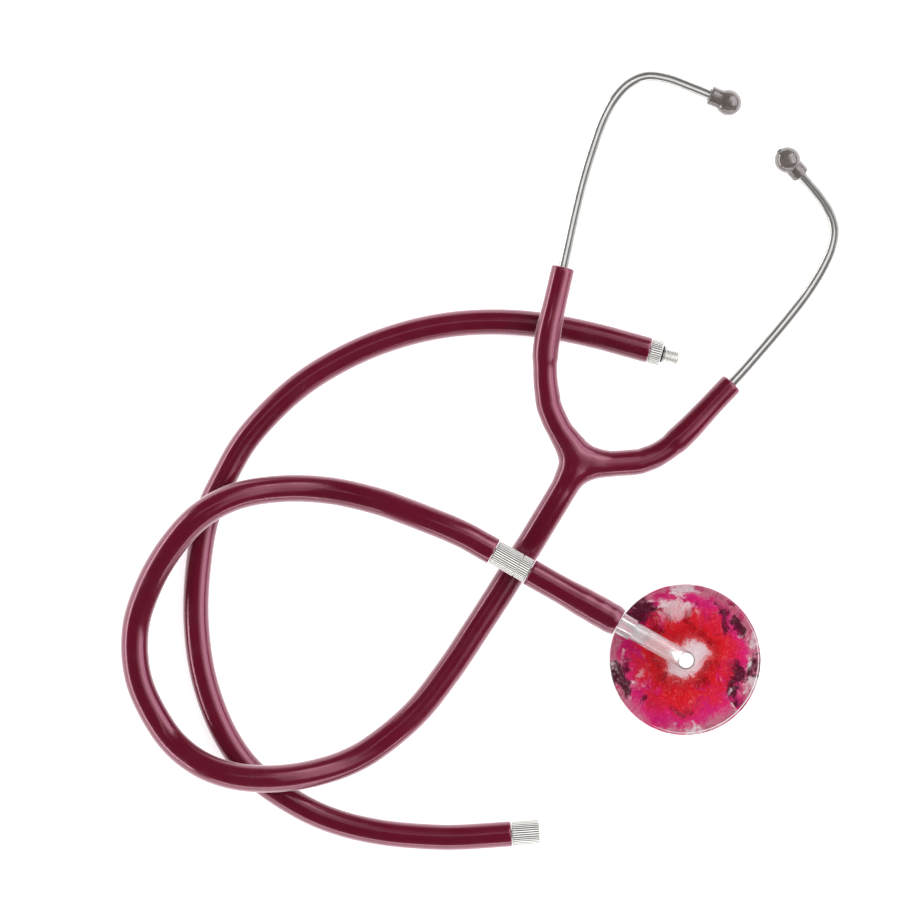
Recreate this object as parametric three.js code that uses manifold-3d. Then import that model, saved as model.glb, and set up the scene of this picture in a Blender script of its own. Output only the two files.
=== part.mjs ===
// Acoustic stethoscope with a clear acrylic chestpiece, an in-line screw coupling in its hose, and a
// spare extension hose lying beneath it. Millimetres, +Z up, z = 0 is the table. The origin is the
// centre of the diaphragm's lower face. X runs to the right and Y away from the reader.
import * as THREE from "three";
import { mergeVertices } from "three/addons/utils/BufferGeometryUtils.js";
import Module from "manifold-3d";

const wasm = await Module();
wasm.setup();

// ---------------------------------------------------------------- driving dimensions
const GAP = 0.3; // clearance between neighbouring pieces
const HOSE_R = 5.2; // main hose, outer radius
const SPARE_R = 4.9; // extension hose, outer radius
const HOSE_BORE = 2.6;
const HOSE_SIDES = 10;
const BORE_SIDES = 6;

const DISC_R = 28.7; // chestpiece
const DISC_TOP = 9.4;
const BODY_BOTTOM = 2.9;
const ART_R = 27.7;
const DIAPHRAGM_R = 26.6;
const LINE_Z = 15.8; // height of the chestpiece stem, lower hose and coupling
const LINE_ANGLE = -29.5; // their direction in plan, degrees, from the coupling to the chestpiece
const STEM_R = 3.55;
const STEM_BORE = 2.35;
const SOUND_HOLE_R = 2.65;
const STEM_END = 22.6; // distances from the chestpiece's centre, along the line
const COLLAR_END = 28.9;
const LOWER_HOSE_END = 29.2;
const COUPLING_NEAR = 68.25;
const COUPLING_FAR = 83.35;

const KNURL_R = 4.7; // screw coupling
const FEMALE_LENGTH = 10.55;
const COLLAR_LENGTH = 4.3;
const PLUG_R = 3.1;
const PLUG_END = 11.1;
const SOCKET_R = 3.5;
const BARB_LENGTH = 11;

const ARM_R = 4.45; // soft arms of the Y
const WEB_R = 4.9;
const STEM_TUBE_R = 5.1;
const ARM_BORE = 2.5;
const EAR_TUBE_R = 2.0;
const EAR_TUBE_BORE = 1.45;
const TIP_SLEEVE_R = 3.7;
const TIP_BALL_R = 5.1;
const TIP_BALL_AT = 7.9;
const TIP_LENGTH = 12.95;

// The headset leans: its left side rides over the extension hose and its right arm rests on the table.
const HEAD = { x: -40.7, y: 77.7, z: 9.8, slopeX: -0.12, slopeY: 0.075 };

// ---------------------------------------------------------------- helpers
const group = new THREE.Group();
const V = (x, y, z) => new THREE.Vector3(x, y, z);
const onHead = (x, y, lift = 0) =>
  V(x, y, HEAD.z + HEAD.slopeX * (x - HEAD.x) + HEAD.slopeY * (y - HEAD.y) + lift);
const headPath = (...points) => curve(points.map((p) => onHead(...p)));
const curve = (points) => new THREE.CatmullRomCurve3(points, false, "centripetal");
const lineDir = V(
  Math.cos((LINE_ANGLE * Math.PI) / 180),
  Math.sin((LINE_ANGLE * Math.PI) / 180),
  0,
);
const onLine = (s) => lineDir.clone().multiplyScalar(-s).setZ(LINE_Z);

function solid(geometry) {
  const g = geometry.clone();
  g.deleteAttribute("normal");
  g.deleteAttribute("uv");
  const m = mergeVertices(g, 1e-4);
  return new wasm.Manifold(
    new wasm.Mesh({
      numProp: 3,
      vertProperties: new Float32Array(m.attributes.position.array),
      triVerts: new Uint32Array(m.index.array),
    }),
  );
}

function geometryOf(manifold) {
  const m = manifold.getMesh();
  return new THREE.BufferGeometry()
    .setAttribute("position", new THREE.BufferAttribute(m.vertProperties, 3))
    .setIndex(new THREE.BufferAttribute(m.triVerts, 1))
    .toNonIndexed();
}

function add(name, shape, colour, look = {}) {
  const geometry = shape.isBufferGeometry ? shape : geometryOf(shape);
  geometry.computeVertexNormals();
  const material = new THREE.MeshStandardMaterial({ color: colour, roughness: 0.4, ...look });
  const mesh = new THREE.Mesh(geometry, material);
  mesh.name = name;
  group.add(mesh);
  return mesh;
}

// Turns a shape made along +Z so that it runs along a direction from a point.
function place(geometry, at, direction) {
  const turn = new THREE.Quaternion().setFromUnitVectors(V(0, 0, 1), direction.clone().normalize());
  return geometry.applyMatrix4(new THREE.Matrix4().compose(at, turn, V(1, 1, 1)));
}

// A turned part: the profile is a closed loop of [radius, height] pairs, run anticlockwise.
function turned(profile, segments) {
  const loop = [...profile, profile[0]].map(([r, z]) => new THREE.Vector2(r, z));
  return new THREE.LatheGeometry(loop, segments).rotateX(Math.PI / 2);
}

function circle(radius, sides) {
  const s = new THREE.Shape();
  for (let i = 0; i < sides; i++) {
    const a = (2 * Math.PI * i) / sides;
    const [x, y] = [radius * Math.cos(a), radius * Math.sin(a)];
    if (i) s.lineTo(x, y);
    else s.moveTo(x, y);
  }
  s.closePath();
  return s;
}

function tubeAlong(path, radius, bore, steps, sides = HOSE_SIDES, boreSides = BORE_SIDES) {
  const ring = circle(radius, sides);
  if (bore) ring.holes.push(circle(bore, boreSides));
  return new THREE.ExtrudeGeometry(ring, { steps, extrudePath: path, bevelEnabled: false });
}

// A closed round bar along a path whose radius changes along it.
function bar(path, steps, sides, radiusAt) {
  const frames = path.computeFrenetFrames(steps, false);
  const at = [];
  const faces = [];
  for (let i = 0; i <= steps; i++) {
    const p = path.getPointAt(i / steps);
    const r = radiusAt(i / steps);
    for (let k = 0; k < sides; k++) {
      const a = (2 * Math.PI * k) / sides;
      const q = p.clone();
      q.addScaledVector(frames.normals[i], r * Math.cos(a));
      q.addScaledVector(frames.binormals[i], r * Math.sin(a));
      at.push(q.x, q.y, q.z);
    }
  }
  const centre = (steps + 1) * sides;
  for (const t of [0, 1]) at.push(...path.getPointAt(t).toArray());
  for (let k = 0; k < sides; k++) {
    const n = (k + 1) % sides;
    faces.push(centre, n, k, centre + 1, steps * sides + k, steps * sides + n);
    for (let i = 0; i < steps; i++) {
      const [a, b] = [i * sides + k, i * sides + n];
      faces.push(a, b, a + sides, b, b + sides, a + sides);
    }
  }
  return new THREE.BufferGeometry()
    .setAttribute("position", new THREE.BufferAttribute(new Float32Array(at), 3))
    .setIndex(faces);
}

const ball = (radius, at, sides = 16) =>
  new THREE.SphereGeometry(radius, sides, sides / 2).translate(at.x, at.y, at.z);
const rod = (radius, from, to, sides) =>
  place(
    new THREE.CylinderGeometry(radius, radius, from.distanceTo(to), sides).rotateX(Math.PI / 2),
    from.clone().lerp(to, 0.5),
    to.clone().sub(from),
  );
const less = (a, ...cuts) => cuts.reduce((s, c) => s.subtract(solid(c)), solid(a));
const ease = (t, from, to) => from + (to - from) * (3 * t * t - 2 * t * t * t);

const BURGUNDY = 0x6b0f27;
const STEEL = 0xb9b9b6;
const CLEAR = { transparent: true, opacity: 0.35, roughness: 0.05 };

// ---------------------------------------------------------------- screw coupling
const barbEdge = [
  [1.3, -BARB_LENGTH], [1.7, -BARB_LENGTH], [2.05, -8.8], [1.75, -8.6],
  [2.05, -6.2], [1.75, -6.0], [2.05, -3.6], [1.75, -3.4], [1.75, 0],
];

function femaleConnector(at, direction) {
  const profile = [
    ...barbEdge, [KNURL_R - 0.35, 0], [KNURL_R, 0.35], [KNURL_R, FEMALE_LENGTH - 0.35],
    [KNURL_R - 0.35, FEMALE_LENGTH], [SOCKET_R, FEMALE_LENGTH], [SOCKET_R, 3], [1.3, 3],
  ];
  return place(turned(profile, 20), at, direction);
}

function maleConnector(at, direction) {
  const neck = COLLAR_LENGTH + 1.2;
  const profile = [
    ...barbEdge, [KNURL_R - 0.35, 0], [KNURL_R, 0.35], [KNURL_R, COLLAR_LENGTH - 0.25],
    [KNURL_R - 0.25, COLLAR_LENGTH], [2.3, COLLAR_LENGTH], [2.3, neck], [PLUG_R, neck + 0.3],
    [PLUG_R, PLUG_END - 0.4], [PLUG_R - 0.4, PLUG_END], [1.3, PLUG_END],
  ];
  return place(turned(profile, 20), at, direction);
}

// A rubber ring on the neck of the plug.
function sealRing(at, direction) {
  const ring = new THREE.TorusGeometry(2.98, 0.34, 6, 16).translate(0, 0, COLLAR_LENGTH + 0.66);
  return place(ring, at, direction);
}

const farEnd = onLine(COUPLING_FAR);
const nearEnd = onLine(COUPLING_NEAR);
add("female_connector", femaleConnector(farEnd, lineDir), STEEL, { metalness: 1 });
add("male_connector", maleConnector(nearEnd, lineDir.clone().negate()), STEEL, { metalness: 1 });
add("seal_ring", sealRing(nearEnd, lineDir.clone().negate()), 0x26211f);

// ---------------------------------------------------------------- extension hose
const sparePath = curve(
  [
    [-13.5, 117.5], [-19.05, 119.04], [-24.6, 120.58], [-32.4, 122.7], [-51.3, 126.6], [-70.3, 128.3],
    [-89.3, 127.3], [-108.3, 123.2], [-127.8, 115.5], [-147.6, 103.2], [-166.3, 84.1],
    [-175.8, 67.8], [-181.5, 54.9], [-184.7, 37.7], [-185.8, 15.0], [-182.7, -7.7],
    [-174.7, -28.7], [-164.5, -42.8], [-148.8, -54.3], [-134.4, -61.1], [-115.8, -65.7],
    [-93.1, -67.6], [-84.0, -67.5], [-77.6, -67.11], [-71.8, -66.71], [-66.0, -66.3],
  ].map(([x, y]) => V(x, y, SPARE_R)),
);
const spareStart = sparePath.getPointAt(0);
const spareEnd = sparePath.getPointAt(1);
const maleOut = V(0.9636, -0.2674, 0);
const femaleOut = V(0.9976, 0.0698, 0);
const maleAt = spareStart.clone().addScaledVector(maleOut, GAP);
const femaleAt = spareEnd.clone().addScaledVector(femaleOut, GAP);
add("spare_hose", tubeAlong(sparePath, SPARE_R, HOSE_BORE, 50), BURGUNDY);
add("spare_male_connector", maleConnector(maleAt, maleOut), STEEL, { metalness: 1 });
add("spare_female_connector", femaleConnector(femaleAt, femaleOut), STEEL, { metalness: 1 });
add("spare_seal_ring", sealRing(maleAt, maleOut), 0x26211f);

// ---------------------------------------------------------------- main hose
const hoseExit = onLine(COUPLING_FAR + GAP);
const mainPath = curve(
  [
    [-46.6, 64.1, 9.5], [-48.2, 61.4, 9.5], [-53.7, 52.3, 8.5], [-58.6, 44.2, 6.8], [-63.3, 36.8, 5.5],
    [-69.3, 27.0, 5.2], [-79.0, 11.9, 5.2], [-89.8, -4.3, 5.2], [-102.9, -20.8, 5.2],
    [-119.9, -34.7, 5.4], [-129.5, -39.6, 7.2], [-139.0, -42.5, 10.3], [-149.0, -44.3, 13.5],
    [-159.0, -44.9, 15.4], [-170.0, -44.1, 14.9], [-181.4, -40.7, 12.0], [-191.3, -34.4, 8.1],
    [-198.7, -26.0, 5.7], [-207.6, -7.7, 5.2], [-208.9, 11.2, 5.3], [-203.8, 27.7, 8.6],
    [-195.3, 42.4, 13.2], [-184.3, 54.5, 15.5], [-171.0, 61.8, 13.6], [-153.8, 64.9, 8.9],
    [-135.0, 64.2, 5.3], [-116.2, 60.0, 8.1], [-106.5, 56.6, 11.1], [-97.1, 53.0, 13.9],
    [-89.8, 50.1, 15.3],
  ].map(([x, y, z]) => V(x, y, z)).concat([onLine(95.2), onLine(89.4), hoseExit]),
);
add("main_hose", tubeAlong(mainPath, HOSE_R, HOSE_BORE, 62), BURGUNDY);

// ---------------------------------------------------------------- lower hose, on the coupling and the barb
const hoseSkin = [
  [5.25, COUPLING_NEAR - GAP], [5.3, 52], [5.55, 47.5], [5.85, 44], [5.7, 41], [5.95, 37.5],
  [5.75, 34.3], [5.85, 31.5], [5.6, LOWER_HOSE_END + 0.4], [5.2, LOWER_HOSE_END],
];
const lowerHose = [
  ...hoseSkin.reverse(), [HOSE_BORE, COUPLING_NEAR - GAP], [HOSE_BORE, 52.5], [3.4, 51.5],
  [3.4, LOWER_HOSE_END],
];
const towardCoupling = lineDir.clone().negate();
const lineStart = onLine(0);
add("lower_hose", place(turned(lowerHose, 16), lineStart, towardCoupling), BURGUNDY);

// ---------------------------------------------------------------- chestpiece
const stemBarb = [
  [1.7, 17.6], [2.6, 17.6], [2.6, STEM_END + GAP], [3.85, STEM_END + GAP], [4.1, STEM_END + 0.6],
  [4.1, COLLAR_END - 0.3], [3.85, COLLAR_END], [2.6, COLLAR_END], [2.6, 36], [3.0, 36.4],
  [2.6, 40.5], [2.6, 42.6], [3.0, 43.0], [2.3, 49.5], [1.7, 49.5],
];
add("stem_barb", place(turned(stemBarb, 16), lineStart, towardCoupling), 0xdfe4e6, CLEAR);

const centreTop = V(0, 0, LINE_Z);
const stemShape = solid(rod(STEM_R, centreTop, onLine(STEM_END), 20))
  .add(solid(ball(STEM_R, centreTop, 20)))
  .add(solid(rod(STEM_R, V(0, 0, DISC_TOP + GAP), centreTop, 24)));
const web = new THREE.BoxGeometry(STEM_END, 3, LINE_Z - DISC_TOP - GAP)
  .translate(-STEM_END / 2, 0, (LINE_Z + DISC_TOP + GAP) / 2)
  .rotateZ((LINE_ANGLE * Math.PI) / 180);
const chestStem = stemShape
  .add(solid(web))
  .subtract(solid(rod(STEM_BORE, centreTop, onLine(STEM_END + 1), 16)))
  .subtract(solid(rod(STEM_BORE + 0.65, onLine(17.3), onLine(STEM_END + 1), 16)))
  .subtract(solid(rod(SOUND_HOLE_R, V(0, 0, DISC_TOP), V(0, 0, LINE_Z + 1.6), 24)));
add("chest_stem", chestStem, 0xe4eaec, CLEAR);

const discBody = [
  [SOUND_HOLE_R, BODY_BOTTOM], [DISC_R, BODY_BOTTOM], [DISC_R, DISC_TOP - 0.9],
  [DISC_R - 0.3, DISC_TOP - 0.25], [DISC_R - 0.9, DISC_TOP], [SOUND_HOLE_R, DISC_TOP],
];
add("chest_body", turned(discBody, 44), 0xe4eaec, CLEAR);
const art = [
  [SOUND_HOLE_R + 0.2, 2.3], [ART_R, 2.3], [ART_R, 2.6], [SOUND_HOLE_R + 0.2, 2.6],
];
add("art_disc", turned(art, 40), 0xc21f3a);
const baseRing = [
  [DIAPHRAGM_R + GAP, 0], [DISC_R - 0.4, 0], [DISC_R, 0.4], [DISC_R, 2.0], [24.8, 2.0],
  [24.8, 0.65], [DIAPHRAGM_R + GAP, 0.65],
];
add("base_ring", turned(baseRing, 44), 0xe4eaec, CLEAR);
const diaphragm = new THREE.CylinderGeometry(DIAPHRAGM_R, DIAPHRAGM_R, 0.35, 40)
  .rotateX(Math.PI / 2)
  .translate(0, 0, 0.175);
add("diaphragm", diaphragm, 0xf2f0ea);

// ---------------------------------------------------------------- Y piece: centre, arms and spring
const leftHinge = onHead(-51.8, 96.5);
const rightHinge = onHead(-17.4, 75.2);
const centreLeft = headPath(
  [-46.4, 64.4], [-44.8, 67.1], [-42.9, 73.5], [-43.9, 80.6], [-48.2, 88.3], [-51.8, 96.5],
);
const centreRight = headPath(
  [-46.4, 64.4], [-44.8, 67.1], [-40.9, 71.0], [-35.4, 73.4], [-27.5, 74.4], [-17.4, 75.2],
);
const crotch = headPath(
  [-51.8, 96.5], [-49.0, 89.6], [-44.4, 83.0], [-38.2, 77.4], [-30.0, 74.7], [-17.4, 75.2],
);
const toWeb = (t) => ease(t, STEM_TUBE_R, WEB_R);
const bore = (path, steps) => bar(path, steps, BORE_SIDES, () => ARM_BORE);
const centre = [centreRight, crotch]
  .reduce(
    (s, path) => s.add(solid(bar(path, 10, 12, path === crotch ? () => WEB_R : toWeb))),
    solid(bar(centreLeft, 10, 12, toWeb)),
  )
  .add(solid(ball(STEM_TUBE_R, onHead(-41.9, 76.6), 12)))
  .subtract(solid(bore(centreLeft, 8)).add(solid(bore(centreRight, 8))).add(solid(bore(crotch, 8))))
  .subtract(solid(ball(WEB_R + GAP + 0.1, leftHinge, 14)))
  .subtract(solid(ball(WEB_R + GAP + 0.1, rightHinge, 14)))
  .simplify(0.1);
const centreParts = centre.decompose().sort((a, b) => b.volume() - a.volume());
add("yoke_centre", centreParts[0], BURGUNDY);

// A bent leaf inside the Y that draws the arms together.
const springStrip = new THREE.Shape([
  new THREE.Vector2(-1.6, -0.3),
  new THREE.Vector2(1.6, -0.3),
  new THREE.Vector2(1.6, 0.3),
  new THREE.Vector2(-1.6, 0.3),
]);
const springPath = curve([0.17, 0.3, 0.42, 0.5, 0.58, 0.7, 0.83].map((t) => crotch.getPointAt(t)));
add(
  "leaf_spring",
  new THREE.ExtrudeGeometry(springStrip, { steps: 14, extrudePath: springPath, bevelEnabled: false }),
  0x8f9498,
  { metalness: 1 },
);

const leftArm = headPath(
  [-51.8, 96.5], [-53.1, 106.2, 0.3], [-53.1, 116.9, 0.9], [-51.7, 126.0, 0.8], [-50.0, 133.4, 0.3],
  [-48.2, 141.2], [-46.4, 149.0],
);
const rightArm = headPath(
  [-17.4, 75.2], [-11.6, 77.3], [-6.0, 80.8], [0.9, 87.0], [6.5, 92.9], [12.2, 99.0], [18.0, 105.1],
);
// Full at the web, a soft step over the ear tube's inner end, then slimmer to the sleeve's mouth.
function armRadius(t) {
  if (t < 0.27) return ease(t / 0.27, WEB_R, 4.6);
  if (t < 0.36) return ease((t - 0.27) / 0.09, 4.6, 5.0);
  return ease(Math.min((t - 0.36) / 0.45, 1), 5.0, ARM_R) + (t > 0.985 ? -0.35 : 0);
}
function arm(path, hinge) {
  const behind = hinge.clone().addScaledVector(path.getTangentAt(0), -6);
  return solid(bar(path, 20, 12, armRadius))
    .add(solid(ball(WEB_R, hinge, 12)))
    .subtract(solid(rod(ARM_BORE, behind, path.getPointAt(0.02), BORE_SIDES)))
    .subtract(solid(bar(longer(path), 20, 8, () => ARM_BORE)))
    .simplify(0.04);
}
function longer(path) {
  const end = path.getPointAt(1).addScaledVector(path.getTangentAt(1), 1);
  return curve([...path.points, end]);
}
add("left_arm", arm(leftArm, leftHinge), BURGUNDY);
add("right_arm", arm(rightArm, rightHinge), BURGUNDY);

// ---------------------------------------------------------------- ear tubes and tips
const leftTube = headPath(
  [-49.6, 135.2], [-48.2, 141.2], [-46.4, 149.0], [-44.9, 155.8], [-42.0, 169.0], [-38.7, 182.4],
  [-34.7, 195.4], [-31.4, 204.4], [-26.8, 212.8], [-21.3, 218.4], [-15.0, 221.0], [-7.2, 220.2],
  [1.8, 217.0], [8.9, 214.2], [15.4, 211.6],
);
const rightTube = headPath(
  [8.1, 94.6], [12.2, 99.0], [18.0, 105.1], [22.6, 110.1], [30.6, 119.3], [38.5, 128.7],
  [46.2, 138.7, 0.4], [52.1, 148.2, 1.0], [55.8, 156.6, 1.8], [56.7, 163.4, 2.5], [54.9, 169.6, 3.2],
  [51.1, 175.4, 4.0], [46.9, 180.3, 4.7], [43.8, 183.7, 5.2], [39.1, 188.8, 6.0],
);
function earTip(path) {
  const out = path.getTangentAt(1);
  const face = path.getPointAt(1).addScaledVector(out, -7);
  const sleeve = TIP_SLEEVE_R;
  const profile = [
    [2.35, 0], [sleeve - 0.4, 0], [sleeve, 0.4], [sleeve, 4.4],
  ];
  for (let i = 0; i <= 7; i++) {
    const a = ((-43 + (122 * i) / 7) * Math.PI) / 180;
    profile.push([TIP_BALL_R * Math.cos(a), TIP_BALL_AT + TIP_BALL_R * Math.sin(a)]);
  }
  profile.push([1.1, TIP_LENGTH - 0.1], [1.1, 8], [2.35, 7.4]);
  return place(turned(profile, 18), face, out);
}
for (const [side, path] of [["left", leftTube], ["right", rightTube]]) {
  const wall = tubeAlong(path, EAR_TUBE_R, EAR_TUBE_BORE, 32, 8, 6);
  add(side + "_ear_tube", wall, 0xc9c9c7, { metalness: 1, roughness: 0.15 });
  add(side + "_ear_tip", earTip(path), 0x77706c, { transparent: true, opacity: 0.85 });
}

export default group;
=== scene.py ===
import math

import bmesh
import bpy
import numpy as np
from mathutils import Matrix, Vector


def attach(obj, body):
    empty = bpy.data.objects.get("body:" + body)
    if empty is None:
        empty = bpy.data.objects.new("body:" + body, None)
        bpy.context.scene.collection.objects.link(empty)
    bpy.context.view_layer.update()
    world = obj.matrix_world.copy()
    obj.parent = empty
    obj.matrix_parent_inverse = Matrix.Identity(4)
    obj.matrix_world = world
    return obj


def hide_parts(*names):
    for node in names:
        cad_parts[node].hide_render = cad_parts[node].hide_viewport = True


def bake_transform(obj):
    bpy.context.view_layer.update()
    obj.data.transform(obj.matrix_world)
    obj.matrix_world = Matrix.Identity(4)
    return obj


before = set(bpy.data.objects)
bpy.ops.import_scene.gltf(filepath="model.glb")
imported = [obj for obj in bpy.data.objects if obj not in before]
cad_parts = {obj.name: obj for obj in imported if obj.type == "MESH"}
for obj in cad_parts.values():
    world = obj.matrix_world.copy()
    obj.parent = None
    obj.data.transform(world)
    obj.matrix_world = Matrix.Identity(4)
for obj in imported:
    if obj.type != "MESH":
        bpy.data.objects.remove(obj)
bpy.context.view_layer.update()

# A stethoscope seen from straight above: burgundy hose and Y, chromed ear tubes, a knurled screw
# coupling, a clear chestpiece over a printed disc, and an extension hose lying beneath. Lengths in
# this script are millimetres until a mesh is made, and the frame is the CAD model's.
MM = 0.001

# ---------------- sizes shared with the CAD
HOSE_R, SPARE_R, HOSE_BORE = 5.2, 4.9, 2.6
LINE_Z, LINE_ANGLE = 15.8, math.radians(-29.5)
LINE = np.array([math.cos(LINE_ANGLE), math.sin(LINE_ANGLE), 0.0])
COUPLING_NEAR, COUPLING_FAR, GAP = 68.25, 83.35, 0.3
FEMALE_LENGTH, COLLAR_LENGTH, PLUG_R, PLUG_END, SOCKET_R = 10.55, 4.3, 3.1, 11.1, 3.5
KNURL_R, KNURL_DEPTH, RIDGES, THREAD_PITCH = 4.7, 0.3, 34, 1.0
ARM_R, WEB_R, STEM_TUBE_R, SLEEVE_BORE = 4.45, 4.9, 5.19, 2.12
HEAD_AT, HEAD_LEAN = (-40.7, 77.7, 9.8), (-0.12, 0.075)
EAR_TUBE_R, EAR_BORE, TIP_R, TIP_BALL_AT, TIP_OVERLAP = 2.0, 1.45, 5.1, 7.9, 7
STEM_R, STEM_FOOT, STEM_END, STEM_BORE, SOCKET_BORE, SOCKET_AT = 3.55, 9.7, 22.6, 2.35, 3.0, 17.3
DISC_LOW, DISC_TOP, SOUND_HOLE_R, SOUND_HOLE_TOP, HOLE_END_Z = 2.9, 9.4, 2.65, 17.4, 17.28


def on_line(s):
    """A point on the axis of the coupling and stem, s mm from the chestpiece's centre."""
    return -s * LINE + np.array([0, 0, LINE_Z])


def on_head(x, y, lift=0.0):
    """A point in the leaning plane of the headset."""
    height = HEAD_AT[2] + HEAD_LEAN[0] * (x - HEAD_AT[0]) + HEAD_LEAN[1] * (y - HEAD_AT[1])
    return np.array([x, y, height + lift])


def unit(v):
    v = np.asarray(v, float)
    return v / np.linalg.norm(v, axis=-1, keepdims=True)


# ---------------- lines
def catmull(points, steps=16):
    """A centripetal Catmull-Rom curve through the points."""
    p = np.array(points, float)
    p = np.vstack([2 * p[0] - p[1], p, 2 * p[-1] - p[-2]])
    out = []
    for i in range(1, len(p) - 2):
        x0, x1, x2, x3 = p[i - 1 : i + 3]
        d0, d1, d2 = (np.linalg.norm(b - a) ** 0.5 for a, b in ((x0, x1), (x1, x2), (x2, x3)))
        m1 = ((x1 - x0) / d0 - (x2 - x0) / (d0 + d1) + (x2 - x1) / d1) * d1
        m2 = ((x2 - x1) / d1 - (x3 - x1) / (d1 + d2) + (x3 - x2) / d2) * d1
        t = np.linspace(0, 1, steps, endpoint=False)[:, None]
        out.append(x1 + m1 * t + (3 * (x2 - x1) - 2 * m1 - m2) * t**2
                   + (2 * (x1 - x2) + m1 + m2) * t**3)
    return np.vstack([*out, p[-2][None]])


class Route:
    """A line with a frame carried along it. A place on it is its distance from the start."""

    def __init__(self, points, curved=True):
        self.points = catmull(points) if curved else np.array(points, float)
        step = np.linalg.norm(np.diff(self.points, axis=0), axis=1)
        self.at = np.concatenate([[0], np.cumsum(step)])
        self.length = self.at[-1]
        self.tangents = unit(np.gradient(self.points, self.at, axis=0))
        side = np.cross(self.tangents[0], (0, 0, 1))
        if np.linalg.norm(side) < 1e-3:
            side = np.array([1.0, 0, 0])
        normals = [unit(side)]
        for t in self.tangents[1:]:
            normals.append(unit(normals[-1] - t * (normals[-1] @ t)))
        self.normals = np.array(normals)

    def frame(self, s):
        """Points, tangents and two normals at the places s, each an array of rows."""
        s = np.atleast_1d(np.asarray(s, float))
        inside = np.clip(s, 0, self.length)
        p, t, n = (np.stack([np.interp(inside, self.at, a[:, k]) for k in range(3)], 1)
                   for a in (self.points, self.tangents, self.normals))
        t = unit(t)
        n = unit(n - t * np.sum(n * t, 1, keepdims=True))
        return p + t * (s - inside)[:, None], t, n, np.cross(t, n)


def straight(start, direction):
    """A straight route. Places beyond its 20 mm run on in line."""
    start = np.asarray(start, float)
    return Route([start, start + 20 * unit(direction)], curved=False)


# ---------------- meshes
def swept(route, stations, sides, closed=False):
    """A solid of rings along a route. A station is (distance, radius) or (distance, radius, a
    radius offset for each side). An open one is capped; a closed one joins its last ring to its
    first. Returns points, faces and each face corner's (turn, distance)."""
    s = np.array([st[0] for st in stations], float)
    radius = np.array([np.broadcast_to(st[1] + (st[2] if len(st) > 2 else 0), sides)
                       for st in stations])
    p, _, n, b = route.frame(s)
    a = 2 * np.pi * np.arange(sides) / sides
    ring = n[:, None] * np.cos(a)[None, :, None] + b[:, None] * np.sin(a)[None, :, None]
    points = (p[:, None] + ring * radius[..., None]).reshape(-1, 3)
    count = len(stations)
    faces, corners = [], []
    for i in range(count if closed else count - 1):
        j = (i + 1) % count
        for k in range(sides):
            m = (k + 1) % sides
            faces.append((i * sides + k, i * sides + m, j * sides + m, j * sides + k))
            u0, u1 = k / sides, (k + 1) / sides
            corners += [(u0, s[i]), (u1, s[i]), (u1, s[j]), (u0, s[j])]
    if not closed:
        faces.append(tuple(range(sides - 1, -1, -1)))
        faces.append(tuple((count - 1) * sides + k for k in range(sides)))
        corners += [(0.5, s[0])] * sides + [(0.5, s[-1])] * sides
    return points, faces, corners


def plain_corners(faces):
    """The corner places of faces whose material doesn't follow the piece's length."""
    return [(0.5, 0.0)] * sum(len(f) for f in faces)


def make(name, parts, looks, sharp=35.0, normals=None):
    """One object of several islands. looks are its materials. A part is points, faces and corner
    places, and may add the number of its material, or a list with a number for each face."""
    points, faces, corners, slots = [], [], [], []
    for part in parts:
        p, f, c, look = part if len(part) == 4 else (*part, 0)
        base = len(points)
        points.extend(p)
        faces.extend(tuple(base + v for v in face) for face in f)
        corners.extend(c)
        slots.extend(look if isinstance(look, list) else [look] * len(f))
    mesh = bpy.data.meshes.new(name)
    mesh.from_pydata((np.array(points) * MM).tolist(), [], faces)
    uv = mesh.uv_layers.new(name="along")
    uv.data.foreach_set("uv", np.array(corners, np.float32).ravel())
    for look in looks:
        mesh.materials.append(look)
    mesh.polygons.foreach_set("material_index", np.array(slots, np.int32))
    mesh.polygons.foreach_set("use_smooth", np.ones(len(faces), bool))
    mesh.update()
    if normals is None:
        mesh.set_sharp_from_angle(angle=math.radians(sharp))
    else:
        mesh.normals_split_custom_set(normals)
    mesh.validate()
    obj = bpy.data.objects.new(name, mesh)
    bpy.context.scene.collection.objects.link(obj)
    return obj


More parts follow.
